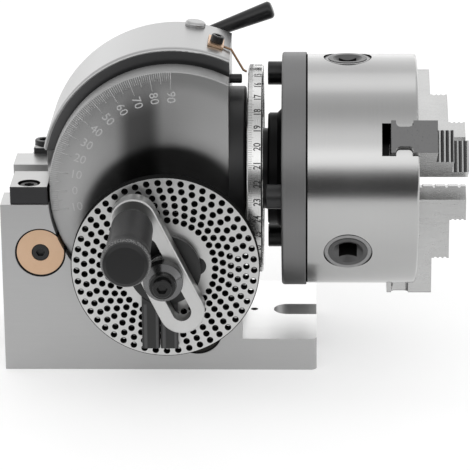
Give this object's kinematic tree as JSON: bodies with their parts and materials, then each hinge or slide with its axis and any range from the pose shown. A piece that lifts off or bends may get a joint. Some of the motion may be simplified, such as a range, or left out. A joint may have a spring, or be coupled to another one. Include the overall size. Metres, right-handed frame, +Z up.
{
  "type": "dividing head",
  "caption": "Swivelling worm-driven dividing head: iron base, tilting drum, index plate with crank and sector arms, graduated dial ring and a three-jaw chuck on the spindle.",
  "frame": {"origin": "on the base's bottom face, straight under the head's swivel axis, midway across the base's width", "axes": "+X along the spindle towards the chuck, +Z up out of the base, +Y away from the crank and index plate"},
  "size_m": [0.2503, 0.217, 0.1815],
  "materials": {
    "machined_iron": "fine machined",
    "bright_steel": "satin ground",
    "black_steel": "black oxide",
    "brass": "turned",
    "bronze": "turned",
    "grip_plastic": "smooth satin"
  },
  "bodies": {
    "base": {"base_casting": "machined_iron", "front_clamp_block": "bright_steel", "rear_clamp_block": "bright_steel", "clamp_screws": "black_steel", "swivel_cotters": "brass", "cotter_screws": "black_steel"},
    "head": {"swivel_head": "machined_iron", "front_bearing_cap": "black_steel", "cap_screws": "black_steel", "front_bush": "bronze", "rear_bush": "bronze", "worm_sleeve": "bright_steel", "sleeve_lock_screws": "black_steel", "worm_bush": "bronze", "rear_cover": "bright_steel", "rear_cover_screws": "black_steel", "oil_plug": "bright_steel", "index_plate": "bright_steel", "plate_screws": "black_steel", "spring_ring": "bright_steel", "pointer_plate": "brass", "pointer_screw": "black_steel", "pointer_wire": "brass"},
    "spindle_group": {"spindle": "bright_steel", "worm_wheel": "bronze", "wheel_key": "bright_steel", "thrust_washer": "bright_steel", "ring_nuts": "black_steel", "dial_ring": "bright_steel", "backplate": "black_steel", "chuck_screws": "black_steel", "chuck_body": "bright_steel", "chuck_cover": "bright_steel", "pinion_rings": "bright_steel"},
    "scroll": {"chuck_scroll": "bright_steel"},
    "pinion_1": {"chuck_pinion_1": "black_steel"},
    "pinion_2": {"chuck_pinion_2": "black_steel"},
    "pinion_3": {"chuck_pinion_3": "black_steel"},
    "jaw_1": {"chuck_jaw_1": "bright_steel"},
    "jaw_2": {"chuck_jaw_2": "bright_steel"},
    "jaw_3": {"chuck_jaw_3": "bright_steel"},
    "worm": {"worm_shaft": "bright_steel", "crank_arm": "bright_steel", "crank_nut": "black_steel", "crank_screw": "black_steel", "plunger_sleeve": "bright_steel", "plunger_spring": "bright_steel"},
    "index_pin_group": {"index_pin": "bright_steel", "grip": "grip_plastic"},
    "sector_rear": {"sector_arm_rear": "black_steel"},
    "sector_front": {"sector_arm_front": "black_steel"},
    "plunger": {"direct_plunger": "bright_steel"},
    "lever": {"lever_shaft": "black_steel", "lever_handle": "black_steel"}
  },
  "joints": [
    {"name": "head_tilt", "type": "hinge", "parent": "base", "child": "head", "pos_m": [0, 0, 0.1], "axis": [0, -1, 0], "range_deg": [-10, 90]},
    {"name": "spindle_spin", "type": "hinge", "parent": "head", "child": "spindle_group", "pos_m": [0, 0, 0.1], "axis": [1, 0, 0], "continuous": true},
    {"name": "scroll_turn", "type": "hinge", "parent": "spindle_group", "child": "scroll", "pos_m": [0.108, 0, 0.1], "axis": [1, 0, 0], "range_deg": [-360, 360]},
    {"name": "worm_spin", "type": "hinge", "parent": "head", "child": "worm", "pos_m": [-0.0029, 0, 0.0664], "axis": [0, -1, 0], "continuous": true},
    {"name": "index_pin_slide", "type": "slide", "parent": "worm", "child": "index_pin_group", "axis": [0, -1, 0], "range_m": [-0.009, 0], "deforming": ["plunger_spring"]},
    {"name": "sector_rear_turn", "type": "hinge", "parent": "head", "child": "sector_rear", "pos_m": [-0.0029, 0, 0.0664], "axis": [0, 1, 0], "range_deg": [0, 110]},
    {"name": "sector_front_turn", "type": "hinge", "parent": "head", "child": "sector_front", "pos_m": [-0.0029, 0, 0.0664], "axis": [0, -1, 0], "range_deg": [0, 150]},
    {"name": "lever_turn", "type": "hinge", "parent": "head", "child": "lever", "pos_m": [0.005, 0, 0.15927], "axis": [0, -1, 0], "range_deg": [0, 50]},
    {"name": "direct_plunger_slide", "type": "slide", "parent": "head", "child": "plunger", "axis": [1, 0, 0], "range_m": [0, 0.00592]},
    {"name": "jaw_1_slide", "type": "slide", "parent": "spindle_group", "child": "jaw_1", "axis": [0, -0.8517, 0.524], "range_m": [-0.005, 0.005]},
    {"name": "jaw_2_slide", "type": "slide", "parent": "spindle_group", "child": "jaw_2", "axis": [0, 0.8796, 0.4756], "range_m": [-0.005, 0.005]},
    {"name": "jaw_3_slide", "type": "slide", "parent": "spindle_group", "child": "jaw_3", "axis": [0, -0.0279, -0.9996], "range_m": [-0.005, 0.005]},
    {"name": "pinion_1_turn", "type": "hinge", "parent": "spindle_group", "child": "pinion_1", "pos_m": [0.0937, -0.04882, 0.0736], "axis": [0, -0.8796, -0.4756], "range_deg": [-1440.1, 1440.1]},
    {"name": "pinion_2_turn", "type": "hinge", "parent": "spindle_group", "child": "pinion_2", "pos_m": [0.0937, 0.00155, 0.15548], "axis": [0, 0.0279, 0.9996], "range_deg": [-1440.1, 1440.1]},
    {"name": "pinion_3_turn", "type": "hinge", "parent": "spindle_group", "child": "pinion_3", "pos_m": [0.0937, 0.04727, 0.07092], "axis": [0, 0.8517, -0.524], "range_deg": [-1440.1, 1440.1]}
  ],
  "couplings": [
    {"joint": "worm_spin", "follows": "spindle_spin", "ratio": 40},
    {"joint": "direct_plunger_slide", "follows": "lever_turn", "m_per_rad": 0.00678},
    {"joint": "jaw_1_slide", "follows": "scroll_turn", "m_per_rad": 0.00079577},
    {"joint": "jaw_2_slide", "follows": "scroll_turn", "m_per_rad": 0.00079577},
    {"joint": "jaw_3_slide", "follows": "scroll_turn", "m_per_rad": 0.00079577},
    {"joint": "pinion_1_turn", "follows": "scroll_turn", "ratio": -4},
    {"joint": "pinion_2_turn", "follows": "scroll_turn", "ratio": -4},
    {"joint": "pinion_3_turn", "follows": "scroll_turn", "ratio": -4}
  ]
}
